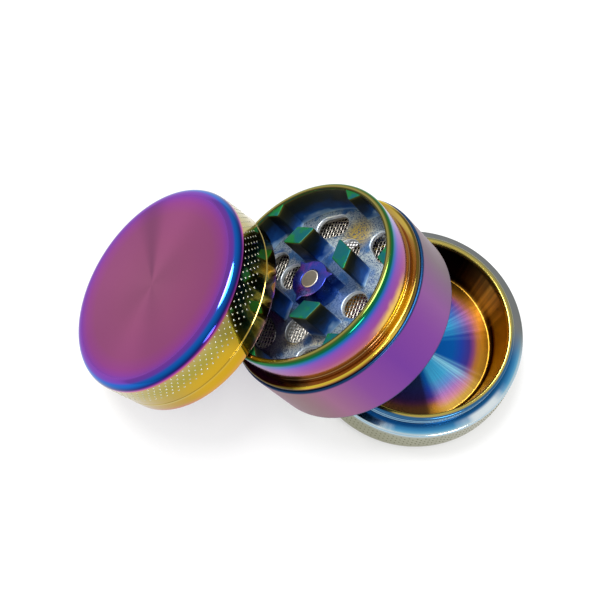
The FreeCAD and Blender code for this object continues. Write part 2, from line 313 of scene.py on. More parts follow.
class Finish:
    """One material, with its nodes made by a single method."""

    def __init__(self, name, place):
        self.material = bpy.data.materials.new(name)
        self.material.use_nodes = True
        self.tree = self.material.node_tree
        self.tree.nodes.clear()
        spot = self.node("ShaderNodeTexCoord", output="Object")
        upright_spot = {"Vector": spot, "Location": place.translation, "Rotation": place.to_euler()}
        upright_spot["Scale"] = (MM, MM, MM)
        self.spot = self.node("ShaderNodeMapping", {"vector_type": "TEXTURE"}, upright_spot)
        self.x = self.node("ShaderNodeSeparateXYZ", {}, {0: self.spot}, output=0)
        self.y = self.node("ShaderNodeSeparateXYZ", {}, {0: self.spot}, output=1)
        self.z = self.node("ShaderNodeSeparateXYZ", {}, {0: self.spot}, output=2)
        self.r = self.away(0.0, 0.0)

    def node(self, kind, settings=None, inputs=None, output=0):
        made = self.tree.nodes.new(kind)
        for name, value in (settings or {}).items():
            if name == "stops":
                set_stops(made.color_ramp, value)
            else:
                setattr(made, name, value)
        for key, value in (inputs or {}).items():
            if isinstance(value, Tone):
                self.tree.links.new(value.socket, made.inputs[key])
            else:
                made.inputs[key].default_value = value
        return Tone(self, made.outputs[output]) if len(made.outputs) else None

    def away(self, x, y):
        """Distance from a line along Z through (x, y)."""
        return ((self.x - x) * (self.x - x) + (self.y - y) * (self.y - y)) ** 0.5

    def off_bearing(self, degrees):
        """Turn about Z, in degrees either way, between here and a bearing."""
        angle = math.radians(degrees)
        along = self.x * math.cos(angle) + self.y * math.sin(angle)
        across = self.y * math.cos(angle) - self.x * math.sin(angle)
        turn = self.node("ShaderNodeMath", {"operation": "ARCTAN2"}, {0: across, 1: along})
        return self.node("ShaderNodeMath", {"operation": "ABSOLUTE"}, {0: turn}) * DEGREES

    def bands(self, value, stops):
        """Colour that runs through (value, colour) stops as the value rises."""
        low = stops[0][0]
        high = stops[-1][0]
        shares = [((place - low) / (high - low), colour) for place, colour in stops]
        return self.node("ShaderNodeValToRGB", {"stops": shares}, {0: (value - low) / (high - low)})

    def mix(self, share, under, over):
        return self.node("ShaderNodeMix", {"data_type": "RGBA"}, {0: share, 6: under, 7: over}, output=2)

    def noise(self, size, detail=2.0):
        """Cloudy noise with features of about the given size in millimetres."""
        return self.node("ShaderNodeTexNoise", {}, {"Vector": self.spot, "Scale": 1.0 / size, "Detail": detail})

    def fan(self, lobes):
        """Noise that changes only with the angle about the piece's own axis."""
        way = self.node("ShaderNodeCombineXYZ", {}, {0: self.x / self.r, 1: self.y / self.r})
        return self.node("ShaderNodeTexNoise", {}, {"Vector": way, "Scale": lobes, "Detail": 3.0})

    def bump(self, height, depth, strength):
        inputs = {"Strength": strength, "Distance": depth * MM, "Height": height}
        return self.node("ShaderNodeBump", {}, inputs)

    def share(self, value, low, high):
        """Smooth share from 0 to 1 as the value goes from low to high."""
        smooth = {"interpolation_type": "SMOOTHSTEP"}
        return self.node("ShaderNodeMapRange", smooth, {0: value, 1: low, 2: high})

    def surface(self, colour, roughness, normal=None, grain=0.0, metallic=1.0, edge_tint=WHITE):
        """Closes the material with one shader. The edge tint colours what shines at a grazing angle."""
        inputs = {"Base Color": colour, "Metallic": metallic, "Roughness": roughness, "Anisotropic": grain}
        inputs["Specular Tint"] = edge_tint
        if normal:
            inputs["Normal"] = normal
        shader = self.node("ShaderNodeBsdfPrincipled", {}, inputs)
        self.node("ShaderNodeOutputMaterial", {}, {0: shader})
        return self.material


def set_stops(ramp, stops):
    """Puts (place, colour) stops on a ramp in place of its own."""
    while len(ramp.elements) > 1:
        ramp.elements.remove(ramp.elements[-1])
    ramp.elements[0].position = stops[0][0]
    ramp.elements[0].color = stops[0][1]
    for place, colour in stops[1:]:
        ramp.elements.new(place).color = colour


def tint(red, green, blue):
    """A display colour from 0 to 255, as linear light."""
    def linear(level):
        share = level / 255.0
        return share / 12.92 if share <= 0.04045 else ((share + 0.055) / 1.055) ** 2.4
    return (linear(red), linear(green), linear(blue), 1.0)


# Finishes

def lid_finish():
    """Blue rolled edge and gold side, coloured along the profile by the turn about the roll's centre."""
    lid = Finish("lid_plating", LID_PLACE)
    out = lid.r - FACE_RADIUS
    up = lid.z - (LID_HEIGHT - LID_ROLL)
    turn = lid.node("ShaderNodeMath", {"operation": "ARCTAN2"}, {0: out, 1: up}) * DEGREES
    colour = lid.bands(turn, [
        (0.0, tint(128, 62, 164)),
        (24.0, tint(110, 66, 176)),
        (36.0, tint(40, 94, 194)),
        (48.0, tint(16, 98, 182)),
        (61.0, tint(18, 68, 150)),
        (71.0, tint(34, 30, 106)),
        (80.0, tint(120, 44, 140)),
        (89.0, tint(186, 90, 146)),
        (95.0, tint(182, 140, 92)),
        (106.0, tint(172, 158, 94)),
        (140.0, tint(162, 150, 64)),
        (158.0, tint(170, 148, 54)),
        (163.4, tint(172, 144, 50)),
        (164.2, tint(192, 178, 110)),
        (164.8, tint(176, 144, 46)),
        (167.4, tint(174, 138, 46)),
        (169.0, tint(196, 120, 136)),
    ])
    # Painted reflections on the polished side: a pale patch just under the roll at one bearing, and a gold
    # highlight part way down at another.
    pale = lid.share(lid.off_bearing(78.0), 50.0, 20.0) * lid.share(turn, 92.0, 108.0)
    colour = lid.mix(pale * 0.5, colour, tint(204, 202, 172))
    warm = lid.share(lid.off_bearing(-42.0), 32.0, 8.0) * lid.share(turn, 146.0, 162.0)
    colour = lid.mix(warm * 0.55, colour, tint(214, 168, 20))
    return lid.surface(colour, 0.06 + lid.noise(4.0) * 0.05)


def stud_finish(name, place):
    """Small raised dots painted pale in patches, standing in for their glints."""
    stud = Finish(name, place)
    colour = stud.mix(stud.noise(1.6), tint(168, 158, 104), tint(228, 230, 222))
    return stud.surface(colour, 0.14)


def face_finish():
    """Spun mauve top with painted darker reflection streaks across its middle."""
    face = Finish("lid_face", Matrix.Identity(4))
    colour = face.bands(face.r, [
        (0.0, tint(148, 80, 116)),
        (9.0, tint(150, 76, 118)),
        (14.4, tint(148, 72, 120)),
        (16.6, tint(148, 64, 138)),
        (17.6, tint(140, 60, 158)),
        (18.2, tint(122, 62, 170)),
    ])
    # Painted reflections: a darker streak out from the middle at one bearing, and a fainter one at the opposite
    # side.
    streak = face.share(face.off_bearing(115.0), 17.0, 0.0) * face.share(face.r, 0.0, 3.0)
    low_streak = face.share(face.off_bearing(-72.0), 34.0, 0.0)
    colour = face.mix(streak * 0.42, colour, tint(98, 50, 84))
    colour = face.mix(low_streak * 0.22, colour, tint(112, 54, 92))
    return face.surface(colour, 0.3 + face.noise(6.0) * 0.08, grain=0.6)


def chamber_finish():
    """Polished neck, coloured along its profile from an olive rim through blue and violet to a gold flange."""
    neck = Finish("chamber_plating", SIEVE_PLACE)
    along = (CHAMBER_RIM - neck.z) + (neck.r - CHAMBER_BORE)
    colour = neck.bands(along, [
        (0.0, tint(74, 70, 38)),
        (0.25, tint(88, 84, 44)),
        (0.4, tint(178, 164, 90)),
        (0.65, tint(148, 144, 72)),
        (0.85, tint(80, 100, 42)),
        (1.15, tint(40, 114, 54)),
        (1.45, tint(20, 110, 72)),
        (1.75, tint(12, 106, 110)),
        (2.05, tint(14, 100, 148)),
        (2.4, tint(46, 92, 174)),
        (2.85, tint(100, 80, 176)),
        (3.4, tint(130, 73, 168)),
        (4.5, tint(144, 72, 152)),
        (5.5, tint(156, 78, 132)),
        (6.2, tint(170, 100, 120)),
        (6.8, tint(172, 114, 102)),
        (7.2, tint(172, 124, 84)),
        (7.7, tint(168, 130, 84)),
        (8.6, tint(186, 150, 84)),
        # From here on, a painted highlight on the flange's rounded top edge, then painted shade darkening down
        # its side.
        (8.95, tint(214, 180, 62)),
        (9.3, tint(232, 206, 72)),
        (9.6, tint(206, 166, 56)),
        (9.85, tint(120, 74, 34)),
        (10.2, tint(48, 30, 18)),
    ])
    cloud = neck.noise(3.0)
    waver = cloud * 14.0
    # A painted highlight: bright gold low on the neck at one bearing.
    warm = neck.share(neck.off_bearing(-10.0) + waver, 30.0, 12.0) * neck.share(along + cloud * 2.0, 5.6, 7.2)
    colour = neck.mix(warm * 0.8, colour, tint(246, 208, 84))
    # A painted dark reflection on the groove and flange at another bearing.
    dark = neck.share(neck.off_bearing(-108.0) + waver, 42.0, 28.0) * neck.share(along, 5.6, 6.6)
    colour = neck.mix(dark * 0.85, colour, tint(30, 22, 16))
    # Painted light on the right: a gold highlight on the flange's top, and painted shadow on its outer part.
    right = neck.share(neck.off_bearing(24.0) + waver, 56.0, 34.0)
    colour = neck.mix(right * neck.share(along, 8.0, 8.3) * 0.6, colour, tint(232, 202, 92))
    colour = neck.mix(right * neck.share(along, 8.8, 9.1) * 0.85, colour, tint(58, 38, 16))
    return neck.surface(colour, 0.1 + cloud * 0.06)


def cast_finish():
    """As-cast inside: dark walls and teeth that go blue towards a pale speckled floor, green tops, and painted
    light and shade.
    """
    cast = Finish("cast_inside", SIEVE_PLACE)
    speckle = cast.noise(0.22, 3.0)
    drift = (cast.noise(3.6) - 0.5) * cast.share(cast.z, 18.2, 15.6) * cast.share(cast.z, 12.0, 13.2)
    wall = cast.bands(cast.z + drift * 6.0, [
        # The pale lowest stops are a painted highlight along the feet of the walls and teeth.
        (11.8, tint(196, 212, 226)),
        (12.25, tint(128, 164, 204)),
        (13.0, tint(20, 84, 158)),
        (14.6, tint(6, 54, 110)),
        (16.2, tint(20, 36, 46)),
        (17.4, tint(34, 38, 26)),
        (18.3, tint(50, 50, 24)),
        (18.7, tint(104, 96, 42)),
        (18.9, tint(84, 122, 48)),
    ])
    top = cast.mix(cast.share(cast.noise(3.0), 0.42, 0.58), tint(14, 112, 52), tint(2, 92, 98))
    wall = cast.mix(cast.share(cast.z, 18.88, 18.93), wall, top)
    gold = cast.share(cast.away(3.2, 11.8) + speckle * 3.0, 6.2, 2.6)
    low_gold = cast.share(cast.away(-2.4, -9.4) + speckle * 3.0, 5.0, 2.2)
    floor = cast.mix(cast.share(cast.noise(4.0), 0.5, 0.66), tint(178, 190, 192), tint(74, 118, 168))
    # Painted shade: darker blue towards the middle, round the hub and inner teeth.
    floor = cast.mix(cast.share(cast.r + cast.noise(2.4) * 5.0, 12.5, 8.5) * 0.7, floor, tint(44, 96, 162))
    floor = cast.mix(gold + low_gold, floor, tint(190, 164, 74))
    floor = cast.mix(cast.share(speckle, 0.56, 0.36) * 0.9, floor, tint(52, 84, 128))
    # A painted highlight: the floor's rounded edge round the holes goes nearly white.
    lip = cast.share(cast.z, CHAMBER_FLOOR - 0.01, CHAMBER_FLOOR - 0.08)
    floor = cast.mix(lip, floor, tint(232, 240, 246))
    # A painted shadow of the lid: a dark patch on one part of the floor.
    painted_lid_shadow = cast.share(cast.away(-8.0, -9.0) + speckle * 3.0, 8.6, 6.4)
    floor = cast.mix(painted_lid_shadow * 0.8, floor, tint(48, 44, 42))
    colour = cast.mix(cast.z.above(CHAMBER_FLOOR + 0.02), floor, wall)
    return cast.surface(colour, 0.3 + speckle * 0.25, cast.bump(speckle, 0.05, 0.5), metallic=0.8)


def hub_finish():
    """Violet-blue hub."""
    hub = Finish("hub_plating", SIEVE_PLACE)
    top = hub.mix(hub.share(hub.noise(2.4), 0.48, 0.7), tint(56, 72, 172), tint(116, 66, 170))
    side = hub.bands(hub.z, [
        (12.0, tint(80, 120, 180)),
        (13.4, tint(20, 60, 130)),
        (16.0, tint(34, 46, 110)),
    ])
    colour = hub.mix(hub.z.above(HUB_TOP - 0.12), side, top)
    return hub.surface(colour, 0.2 + hub.noise(1.5) * 0.15)


def sieve_finish():
    """Satin violet band with blue edges; painted light makes it rosy at one side and greyer at the other, and
    painted shade darkens it inside.
    """
    satin = Finish("sieve_plating", SIEVE_PLACE)
    # Painted light: the colour changes across the band from a rosy lit side to a greyer one.
    middle = satin.bands(satin.y, [
        (-20.0, tint(132, 92, 102)),
        (-18.8, tint(150, 94, 130)),
        (-15.5, tint(132, 70, 148)),
        (-10.0, tint(116, 58, 152)),
        (-3.0, tint(132, 69, 156)),
        (2.0, tint(142, 84, 152)),
        (10.0, tint(110, 86, 100)),
    ])
    edge = satin.share(satin.z, 0.6, 0.2) + satin.share(satin.z, 10.8, 11.2)
    colour = satin.mix(edge, middle, tint(26, 62, 102))
    # Painted shade inside the socket.
    colour = satin.mix(satin.share(satin.r, 18.6, 18.4), colour, tint(38, 26, 44))
    grain = satin.noise(0.12, 3.0)
    return satin.surface(colour, 0.34 + grain * 0.1, satin.bump(grain, 0.004, 0.4))


def bowl_outside_finish():
    """Grey-gold side, blue thread and shoulder that go grey at the far side, gold rim, and painted highlights.
    """
    side = Finish("bowl_plating", BOWL_PLACE)
    colour = side.bands(side.z, [
        (0.0, tint(122, 122, 106)),
        (2.0, tint(130, 129, 94)),
        (7.4, tint(130, 131, 96)),
        # The pale stop at 8.9 is a painted highlight on the shoulder's rounded edge.
        (8.4, tint(140, 148, 140)),
        (8.9, tint(176, 204, 216)),
        (9.3, tint(60, 132, 190)),
        (10.0, tint(24, 86, 138)),
        (11.4, tint(34, 100, 154)),
        (12.4, tint(56, 108, 150)),
    ])
    # Across the shoulder the blue pales to near white at its outer edge, a painted highlight.
    shoulder = side.bands(side.r, [
        (18.0, tint(16, 66, 116)),
        (18.7, tint(36, 104, 158)),
        (19.4, tint(66, 142, 194)),
        (19.9, tint(110, 178, 214)),
        (20.2, tint(200, 222, 230)),
    ])
    # A painted highlight along the thread crests.
    crest = side.share(side.r, 17.84, 18.04) * side.share(side.z, 9.5, 9.7) * side.share(side.z, 12.0, 11.8)
    colour = side.mix(crest * 0.75, colour, tint(164, 204, 226))
    glint = side.fan(5.0) * 18.0
    gleam = side.share(side.off_bearing(-32.0) + glint, 30.0, 14.0)
    gleam = gleam + side.share(side.off_bearing(-92.0) + glint, 16.0, 6.0)
    gleam = gleam * side.share(side.r, 18.6, 19.3)
    shoulder = side.mix(gleam, shoulder, tint(236, 246, 250))
    flat = side.share(side.z, 9.0, 9.16) * side.share(side.z, 9.34, 9.24)
    colour = side.mix(flat, colour, shoulder)
    far = side.mix(side.share(side.z, 9.4, 9.9), tint(128, 131, 130), tint(148, 144, 98))
    colour = side.mix(side.share(side.y, 0.0, 8.0), colour, far)
    rim = side.share(side.z, 12.0, 12.15) * side.share(side.r, 17.75, 17.5)
    colour = side.mix(rim, colour, tint(188, 170, 86))
    return side.surface(colour, 0.12 + side.noise(3.0) * 0.08)


def bowl_inside_finish():
    """Spun floor that runs from blue through violet to gold with two painted highlight fans, and a dark gold
    wall.
    """
    inside = Finish("bowl_inside", BOWL_PLACE)
    dim = inside.bands(inside.r, [
        (0.0, tint(10, 84, 160)),
        (8.4, tint(14, 92, 176)),
        (10.1, tint(40, 72, 176)),
        (11.6, tint(72, 58, 150)),
        (12.4, tint(140, 74, 132)),
        (13.2, tint(190, 120, 66)),
        (14.0, tint(196, 138, 44)),
        (15.4, tint(164, 120, 40)),
    ])
    lit = inside.bands(inside.r, [
        (0.0, tint(60, 190, 244)),
        (8.7, tint(84, 204, 248)),
        (10.4, tint(130, 178, 244)),
        (12.0, tint(216, 152, 226)),
        (13.3, tint(242, 160, 192)),
        (14.5, tint(246, 196, 90)),
    ])
    # Painted highlights: two bright fans and a pale core, in the lit colours above.
    ray = inside.fan(16.0)
    low_fan = inside.share(inside.off_bearing(-29.0) + ray * 20.0, 37.0, 17.0)
    high_fan = inside.share(inside.off_bearing(45.0) + ray * 30.0, 40.0, 12.0)
    fine_ray = inside.share(inside.fan(60.0), 0.3, 0.7)
    floor = inside.mix((low_fan * 0.9 + high_fan * 0.8) * (0.65 + fine_ray * 0.35), dim, lit)
    core = inside.share(inside.off_bearing(-14.0) + ray * 12.0, 17.0, 5.0)
    core = core * inside.share(inside.r, 14.4, 10.0)
    floor = inside.mix(core * (0.4 + fine_ray * 0.5), floor, tint(160, 230, 252))
    # Painted shade: a dark band just above the cove, between floor and wall.
    wall = inside.bands(inside.z, [
        (1.6, tint(170, 124, 40)),
        (2.0, tint(110, 82, 34)),
        (2.8, tint(52, 42, 24)),
        (4.6, tint(100, 88, 50)),
        (11.4, tint(112, 98, 56)),
        (12.0, tint(176, 142, 56)),
        (12.4, tint(190, 172, 86)),
    ])
    # A painted highlight: a bright gold streak down the wall at one bearing.
    streak = inside.share(inside.off_bearing(48.0) + ray * 30.0, 34.0, 10.0)
    streak = streak * inside.share(inside.z, 11.6, 10.4)
    wall = inside.mix(streak, wall, tint(232, 168, 60))
    under_rim = inside.share(inside.z, 11.9, 11.2)
    shade = inside.share(inside.off_bearing(116.0) + ray * 14.0, 62.0, 46.0) * under_rim
    wall = inside.mix(shade * 0.92, wall, tint(26, 14, 8))
    on_wall = inside.share(inside.r, 15.3, 15.5)
    colour = inside.mix(on_wall, floor, wall)
    low_shade = inside.share(inside.off_bearing(-94.0) + ray * 10.0, 50.0, 38.0) * under_rim
    colour = inside.mix(low_shade * 0.85, colour, tint(30, 16, 26))
    satin = on_wall * 0.15
    dull = streak * on_wall * 0.5
    return inside.surface(colour, 0.2 + ray * 0.1 + satin, grain=0.8, metallic=1.0 - dull,
                          edge_tint=tint(160, 154, 134))


def nickel_finish(name, place):
    """Scuffed magnet face, lighter towards its rounded edge."""
    nickel = Finish(name, place)
    scuff = nickel.noise(0.6, 4.0)
    colour = nickel.mix(scuff, tint(144, 139, 130), tint(122, 117, 108))
    colour = nickel.mix(nickel.share(nickel.r, 1.5, 1.62), colour, tint(226, 220, 208))
    return nickel.surface(colour, 0.3 + scuff * 0.2)


def steel_finish():
    """Wire and ring, a little dusty."""
    steel = Finish("screen_steel", SIEVE_PLACE)
    dust = steel.noise(1.2, 3.0)
    colour = steel.mix(dust, tint(216, 210, 200), tint(160, 152, 140))
    return steel.surface(colour, 0.34 + dust * 0.2)


def nylon_finish():
    """Off-white moulded nylon, not metallic."""
    nylon = Finish("nylon", LID_PLACE)
    cloud = nylon.noise(2.0, 3.0)
    colour = nylon.mix(cloud, tint(232, 230, 222), tint(212, 208, 196))
    return nylon.surface(colour, 0.45 + cloud * 0.1, metallic=0.0)


# Shapes

def softened(corners):
    """Corners (a, b, round) as a point list, with each corner turned into an arc of its own radius."""
    points = []
    for index, corner in enumerate(corners):
        here = Vector(corner[:2])
        radius = corner[2] if len(corner) > 2 else 0.0
        if radius <= 0:
            points.append(tuple(here))
            continue
        back = Vector(corners[index - 1][:2]) - here
        ahead = Vector(corners[(index + 1) % len(corners)][:2]) - here
        half_turn = back.angle(ahead) / 2
        longest = LONGEST_REACH * min(back.length, ahead.length)
        reach = min(radius / math.tan(half_turn), longest)
        radius = reach * math.tan(half_turn)
        start = here + back.normalized() * reach
        end = here + ahead.normalized() * reach
        inward = (back.normalized() + ahead.normalized()).normalized()
        centre = here + inward * (radius / math.sin(half_turn))
        arm = start - centre
        sweep = math.copysign(math.pi - 2 * half_turn, arm.cross(end - centre))
        steps = max(3, int(abs(math.degrees(sweep)) / ARC_STEP_DEGREES))
        # A point just outside each end of the arc keeps the shading of the straight parts flat
        support = min(0.12, 0.2 * reach + 0.02)
        points.append(tuple(start + back.normalized() * support))
        for step in range(steps + 1):
            points.append(tuple(centre + Matrix.Rotation(sweep * step / steps, 2) @ arm))
        points.append(tuple(end + ahead.normalized() * support))
    return points


def mesh_from(name, vertices, faces, sharp_degrees=SHARP_DEGREES):
    """A mesh in metres from vertices in millimetres."""
    mesh = bpy.data.meshes.new(name)
    mesh.from_pydata([tuple(c * MM for c in vertex) for vertex in vertices], [], faces)
    shape = bmesh.new()
    shape.from_mesh(mesh)
    finish_shape(shape, mesh, sharp_degrees)
    return mesh


def finish_shape(shape, mesh, sharp_degrees):
    """Even normals, smooth faces, and sharp edges where two faces meet steeply."""
    bmesh.ops.remove_doubles(shape, verts=shape.verts, dist=1e-7)
    bmesh.ops.recalc_face_normals(shape, faces=shape.faces)
    for face in shape.faces:
        face.smooth = True
    for edge in shape.edges:
        edge.smooth = edge.calc_face_angle(0.0) < math.radians(sharp_degrees)
    shape.to_mesh(mesh)
    shape.free()


def turned(name, outline):
    """A mesh turned about Z from a closed outline of (r, z) points."""
    vertices = []
    rows = []
    for radius, height in outline:
        if radius < 1e-6:
            rows.append([len(vertices)] * SIDES)
            vertices.append((0, 0, height))
            continue
        rows.append(list(range(len(vertices), len(vertices) + SIDES)))
        for side in range(SIDES):
            angle = 2 * math.pi * side / SIDES
            vertices.append((radius * math.cos(angle), radius * math.sin(angle), height))
    faces = []
    for index, row in enumerate(rows):
        next_row = rows[(index + 1) % len(rows)]
        for side in range(SIDES):
            ahead = (side + 1) % SIDES
            loop = [row[side], row[ahead], next_row[ahead], next_row[side]]
            corners = list(dict.fromkeys(loop))
            if len(corners) > 2:
                faces.append(corners)
    return mesh_from(name, vertices, faces)


def plate(name, outlines, bottom, top, edge):
    """Upright plates on flat outlines, holes included, with rounded edges."""
    curve = bpy.data.curves.new(name, "CURVE")
    curve.dimensions = "2D"
    curve.fill_mode = "BOTH"
    curve.extrude = ((top - bottom) / 2 - edge) * MM
    curve.bevel_depth = edge * MM
    curve.bevel_resolution = 3
    curve.offset = -edge * MM
    for outline in outlines:
        spline = curve.splines.new("POLY")
        spline.points.add(len(outline) - 1)
        for point, (x, y) in zip(spline.points, outline):
            point.co = (x * MM, y * MM, 0, 1)
        spline.use_cyclic_u = True
    holder = bpy.data.objects.new(name, curve)
    bpy.context.scene.collection.objects.link(holder)
    bpy.context.view_layer.update()
    drawn = holder.evaluated_get(bpy.context.evaluated_depsgraph_get())
    mesh = bpy.data.meshes.new_from_object(drawn)
    bpy.data.objects.remove(holder)
    mesh.transform(Matrix.Translation((0, 0, (top + bottom) / 2 * MM)))
    mesh.name = name
    shape = bmesh.new()
    shape.from_mesh(mesh)
    finish_shape(shape, mesh, SHARP_DEGREES)
    return mesh


def circle(radius, centre=(0, 0), steps=64):
    points = []
    for step in range(steps):
        angle = 2 * math.pi * step / steps
        points.append((centre[0] + radius * math.cos(angle), centre[1] + radius * math.sin(angle)))
    return points


def rotated(points, degrees):
    angle = math.radians(degrees)
    cosine = math.cos(angle)
    sine = math.sin(angle)
    return [(x * cosine - y * sine, x * sine + y * cosine) for x, y in points]


def around(points, count, phase):
    """Copies of an outline, evenly spaced about Z, the first turned by the phase in degrees."""
    return [rotated(points, phase + 360.0 * index / count) for index in range(count)]


def polar(radius, degrees):
    angle = math.radians(degrees)
    return radius * math.cos(angle), radius * math.sin(angle)


def rhombus(ring, radial, across, corner):
    """Outline of a tooth at a distance from the axis, with rounded corners."""
    return softened([
        (ring - radial / 2, 0, corner),
        (ring, -across / 2, corner),
        (ring + radial / 2, 0, corner),
        (ring, across / 2, corner),
    ])


def add_piece(name, mesh, finish, place, body, node=None, own_axes=False):
    """Puts a mesh in place as a piece that rides on a body, and stands for a solid where it is named.

    A spun piece keeps its own axes, because its grain runs round them.
    """
    piece = bpy.data.objects.new(name, mesh)
    bpy.context.scene.collection.objects.link(piece)
    if own_axes:
        piece.matrix_world = place
    else:
        mesh.transform(place)
    for material in finish if isinstance(finish, list) else [finish]:
        mesh.materials.append(material)
    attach(piece, body)
    if node:
        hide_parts(node)


def second_material(mesh, chosen):
    """Gives the second material to the faces whose middle (r, z) in millimetres is chosen."""
    for face in mesh.polygons:
        middle = face.center / MM
        face.material_index = int(chosen(math.hypot(middle.x, middle.y), middle.z))


def thread_outline(radius, depth, bottom, turns, upward=True):
    """Rounded thread rings along a wall, from bottom to top or back down."""
    corners = []
    for turn in range(turns):
        middle = bottom + (turn + 0.5) * THREAD_PITCH
        corners.append((radius, middle - THREAD_FLANK, THREAD_LIP_ROUND))
        corners.append((radius - depth, middle, FINE_ROUND))
        corners.append((radius, middle + THREAD_FLANK, THREAD_LIP_ROUND))
    return corners if upward else corners[::-1]


def studs(name, radius_at, rows, columns, stud_radius, height):
    """Small domes in staggered rows round a wall, where radius_at gives the wall's radius at a height."""
    vertices = []
    faces = []
    sides = 8
    up = Vector((0, 0, 1))
    dome = ((1.0, -STUD_SINK), (0.8, 0.6 * height), (0.45, 0.92 * height))
    for row, level in enumerate(rows):
        wall = radius_at(level)
        for column in range(columns):
            turn = 2 * math.pi * (column + 0.5 * (row % 2)) / columns
            out = Vector((math.cos(turn), math.sin(turn), 0))
            along = Vector((-math.sin(turn), math.cos(turn), 0))
            first = len(vertices)
            for share, lift in dome:
                centre = out * (wall + lift) + up * level
                for side in range(sides):
                    angle = 2 * math.pi * side / sides
                    spread = along * math.cos(angle) + up * math.sin(angle)
                    vertices.append(tuple(centre + spread * stud_radius * share))
            vertices.append(tuple(out * (wall + height) + up * level))
            for ring in range(len(dome) - 1):
                for side in range(sides):
                    a = first + ring * sides + side
                    b = first + ring * sides + (side + 1) % sides
                    faces.append((a, b, b + sides, a + sides))
            last_ring = first + (len(dome) - 1) * sides
            for side in range(sides):
                faces.append((last_ring + side, last_ring + (side + 1) % sides, last_ring + sides))
            faces.append(tuple(first + side for side in reversed(range(sides))))
    return mesh_from(name, vertices, faces, ROUND_DEGREES)


# Pieces

def make_bowl():
    """Bowl with a rounded foot, a threaded neck and a dotted side, finished differently inside."""
    outline = softened([
        (0, 0),
        (BOWL_RADIUS, 0, BOWL_FOOT_ROUND),
        (BOWL_SHOULDER_RADIUS, BOWL_SHOULDER_HEIGHT, EDGE_BREAK),
        (BOWL_THREAD_RADIUS, BOWL_SHOULDER_HEIGHT, SOFT_ROUND),
        *thread_outline(BOWL_THREAD_RADIUS, THREAD_DEPTH, BOWL_SHOULDER_HEIGHT + RIM_BREAK, BOWL_THREAD_TURNS),
        (BOWL_THREAD_RADIUS, BOWL_HEIGHT, RIM_BREAK),
        (BOWL_MOUTH_RADIUS, BOWL_HEIGHT, RIM_BREAK),
        (BOWL_WALL_FOOT, BOWL_FLOOR, BOWL_COVE),
        (0, BOWL_FLOOR),
    ])
    mesh = turned("catch_bowl_casting", outline)

    def faces_inside(r, z):
        return BOWL_FLOOR / 2 < z < BOWL_HEIGHT - RIM_MARGIN and r < BOWL_MOUTH_RADIUS + WALL_MARGIN
    second_material(mesh, faces_inside)
    outside = bowl_outside_finish()
    finishes = [outside, bowl_inside_finish()]
    add_piece("catch_bowl_casting", mesh, finishes, BOWL_PLACE, "bowl", "catch_bowl")

    def side_radius(level):
        share = level / BOWL_SHOULDER_HEIGHT
        return BOWL_RADIUS + (BOWL_SHOULDER_RADIUS - BOWL_RADIUS) * share
    dots = studs("bowl_side_studs", side_radius, BOWL_STUD_LEVELS, BOWL_STUD_COLUMNS, BOWL_STUD_RADIUS,
                 BOWL_STUD_HEIGHT)
    add_piece("bowl_side_studs", dots, outside, BOWL_PLACE, "bowl")


def make_sieve():
    """Ring with a threaded socket for the bowl and a ledge for the screen."""
    ledge_bottom = LEDGE_TOP - LEDGE_THICKNESS
    threads = thread_outline(SOCKET_THREAD_RADIUS, -THREAD_DEPTH, SOCKET_RELIEF, SOCKET_THREAD_TURNS,
                             upward=False)
    outline = softened([
        (SOCKET_RADIUS, 0, SOFT_ROUND),
        (OUTER_RADIUS, 0, EDGE_BREAK),
        (OUTER_RADIUS, SIEVE_HEIGHT, EDGE_BREAK),
        (SOCKET_THREAD_RADIUS, SIEVE_HEIGHT, FINE_ROUND),
        (SOCKET_THREAD_RADIUS, LEDGE_TOP),
        (LEDGE_RADIUS, LEDGE_TOP, SOFT_ROUND),
        (LEDGE_RADIUS, ledge_bottom, SOFT_ROUND),
        (SOCKET_THREAD_RADIUS, ledge_bottom, SOFT_ROUND),
        *threads,
        (SOCKET_THREAD_RADIUS, SOCKET_RELIEF, FINE_ROUND),
        (SOCKET_RADIUS, SOCKET_RELIEF, FINE_ROUND),
    ])
    mesh = turned("sieve_body_casting", outline)
    add_piece("sieve_body_casting", mesh, sieve_finish(), SIEVE_PLACE, "sieve", "sieve_body")


def make_screen(steel):
    """Plain weave: each wire waves over and under the wires that cross it."""
    reach = SCREEN_RADIUS - SCREEN_INSET
    middle = (LEDGE_TOP + SCREEN_TOP) / 2
    vertices = []
    faces = []
    count = int(reach / WIRE_PITCH)
    sides = 5
    for across in (False, True):
        for line in range(-count, count + 1):
            offset = line * WIRE_PITCH
            half = math.sqrt(reach * reach - offset * offset)
            steps = max(2, int(2 * half / (WIRE_PITCH / 2)))
            first = len(vertices)
            for step in range(steps + 1):
                along = -half + 2 * half * step / steps
                wave = math.cos(math.pi * along / WIRE_PITCH + math.pi * line)
                lift = middle + (wave if across else -wave) * WIRE_WAVE
                for side in range(sides):
                    angle = 2 * math.pi * side / sides
                    x = offset + WIRE_RADIUS * math.cos(angle)
                    z = lift + WIRE_HALF_HEIGHT * math.sin(angle)
                    vertices.append((along, x, z) if across else (x, along, z))
            for step in range(steps):
                for side in range(sides):
                    a = first + step * sides + side
                    b = first + step * sides + (side + 1) % sides
                    faces.append((a, b, b + sides, a + sides))
            faces.append(tuple(range(first, first + sides)))
            faces.append(tuple(range(first + steps * sides, first + (steps + 1) * sides)))
    mesh = mesh_from("woven_screen", vertices, faces, ROUND_DEGREES)
    add_piece("woven_screen", mesh, steel, SIEVE_PLACE, "sieve", "mesh_screen")


def ring(name, inner, outer, bottom, top, edge):
    return turned(name, softened([
        (inner, bottom, edge),
        (outer, bottom, edge),
        (outer, top, edge),
        (inner, top, edge),
    ]))


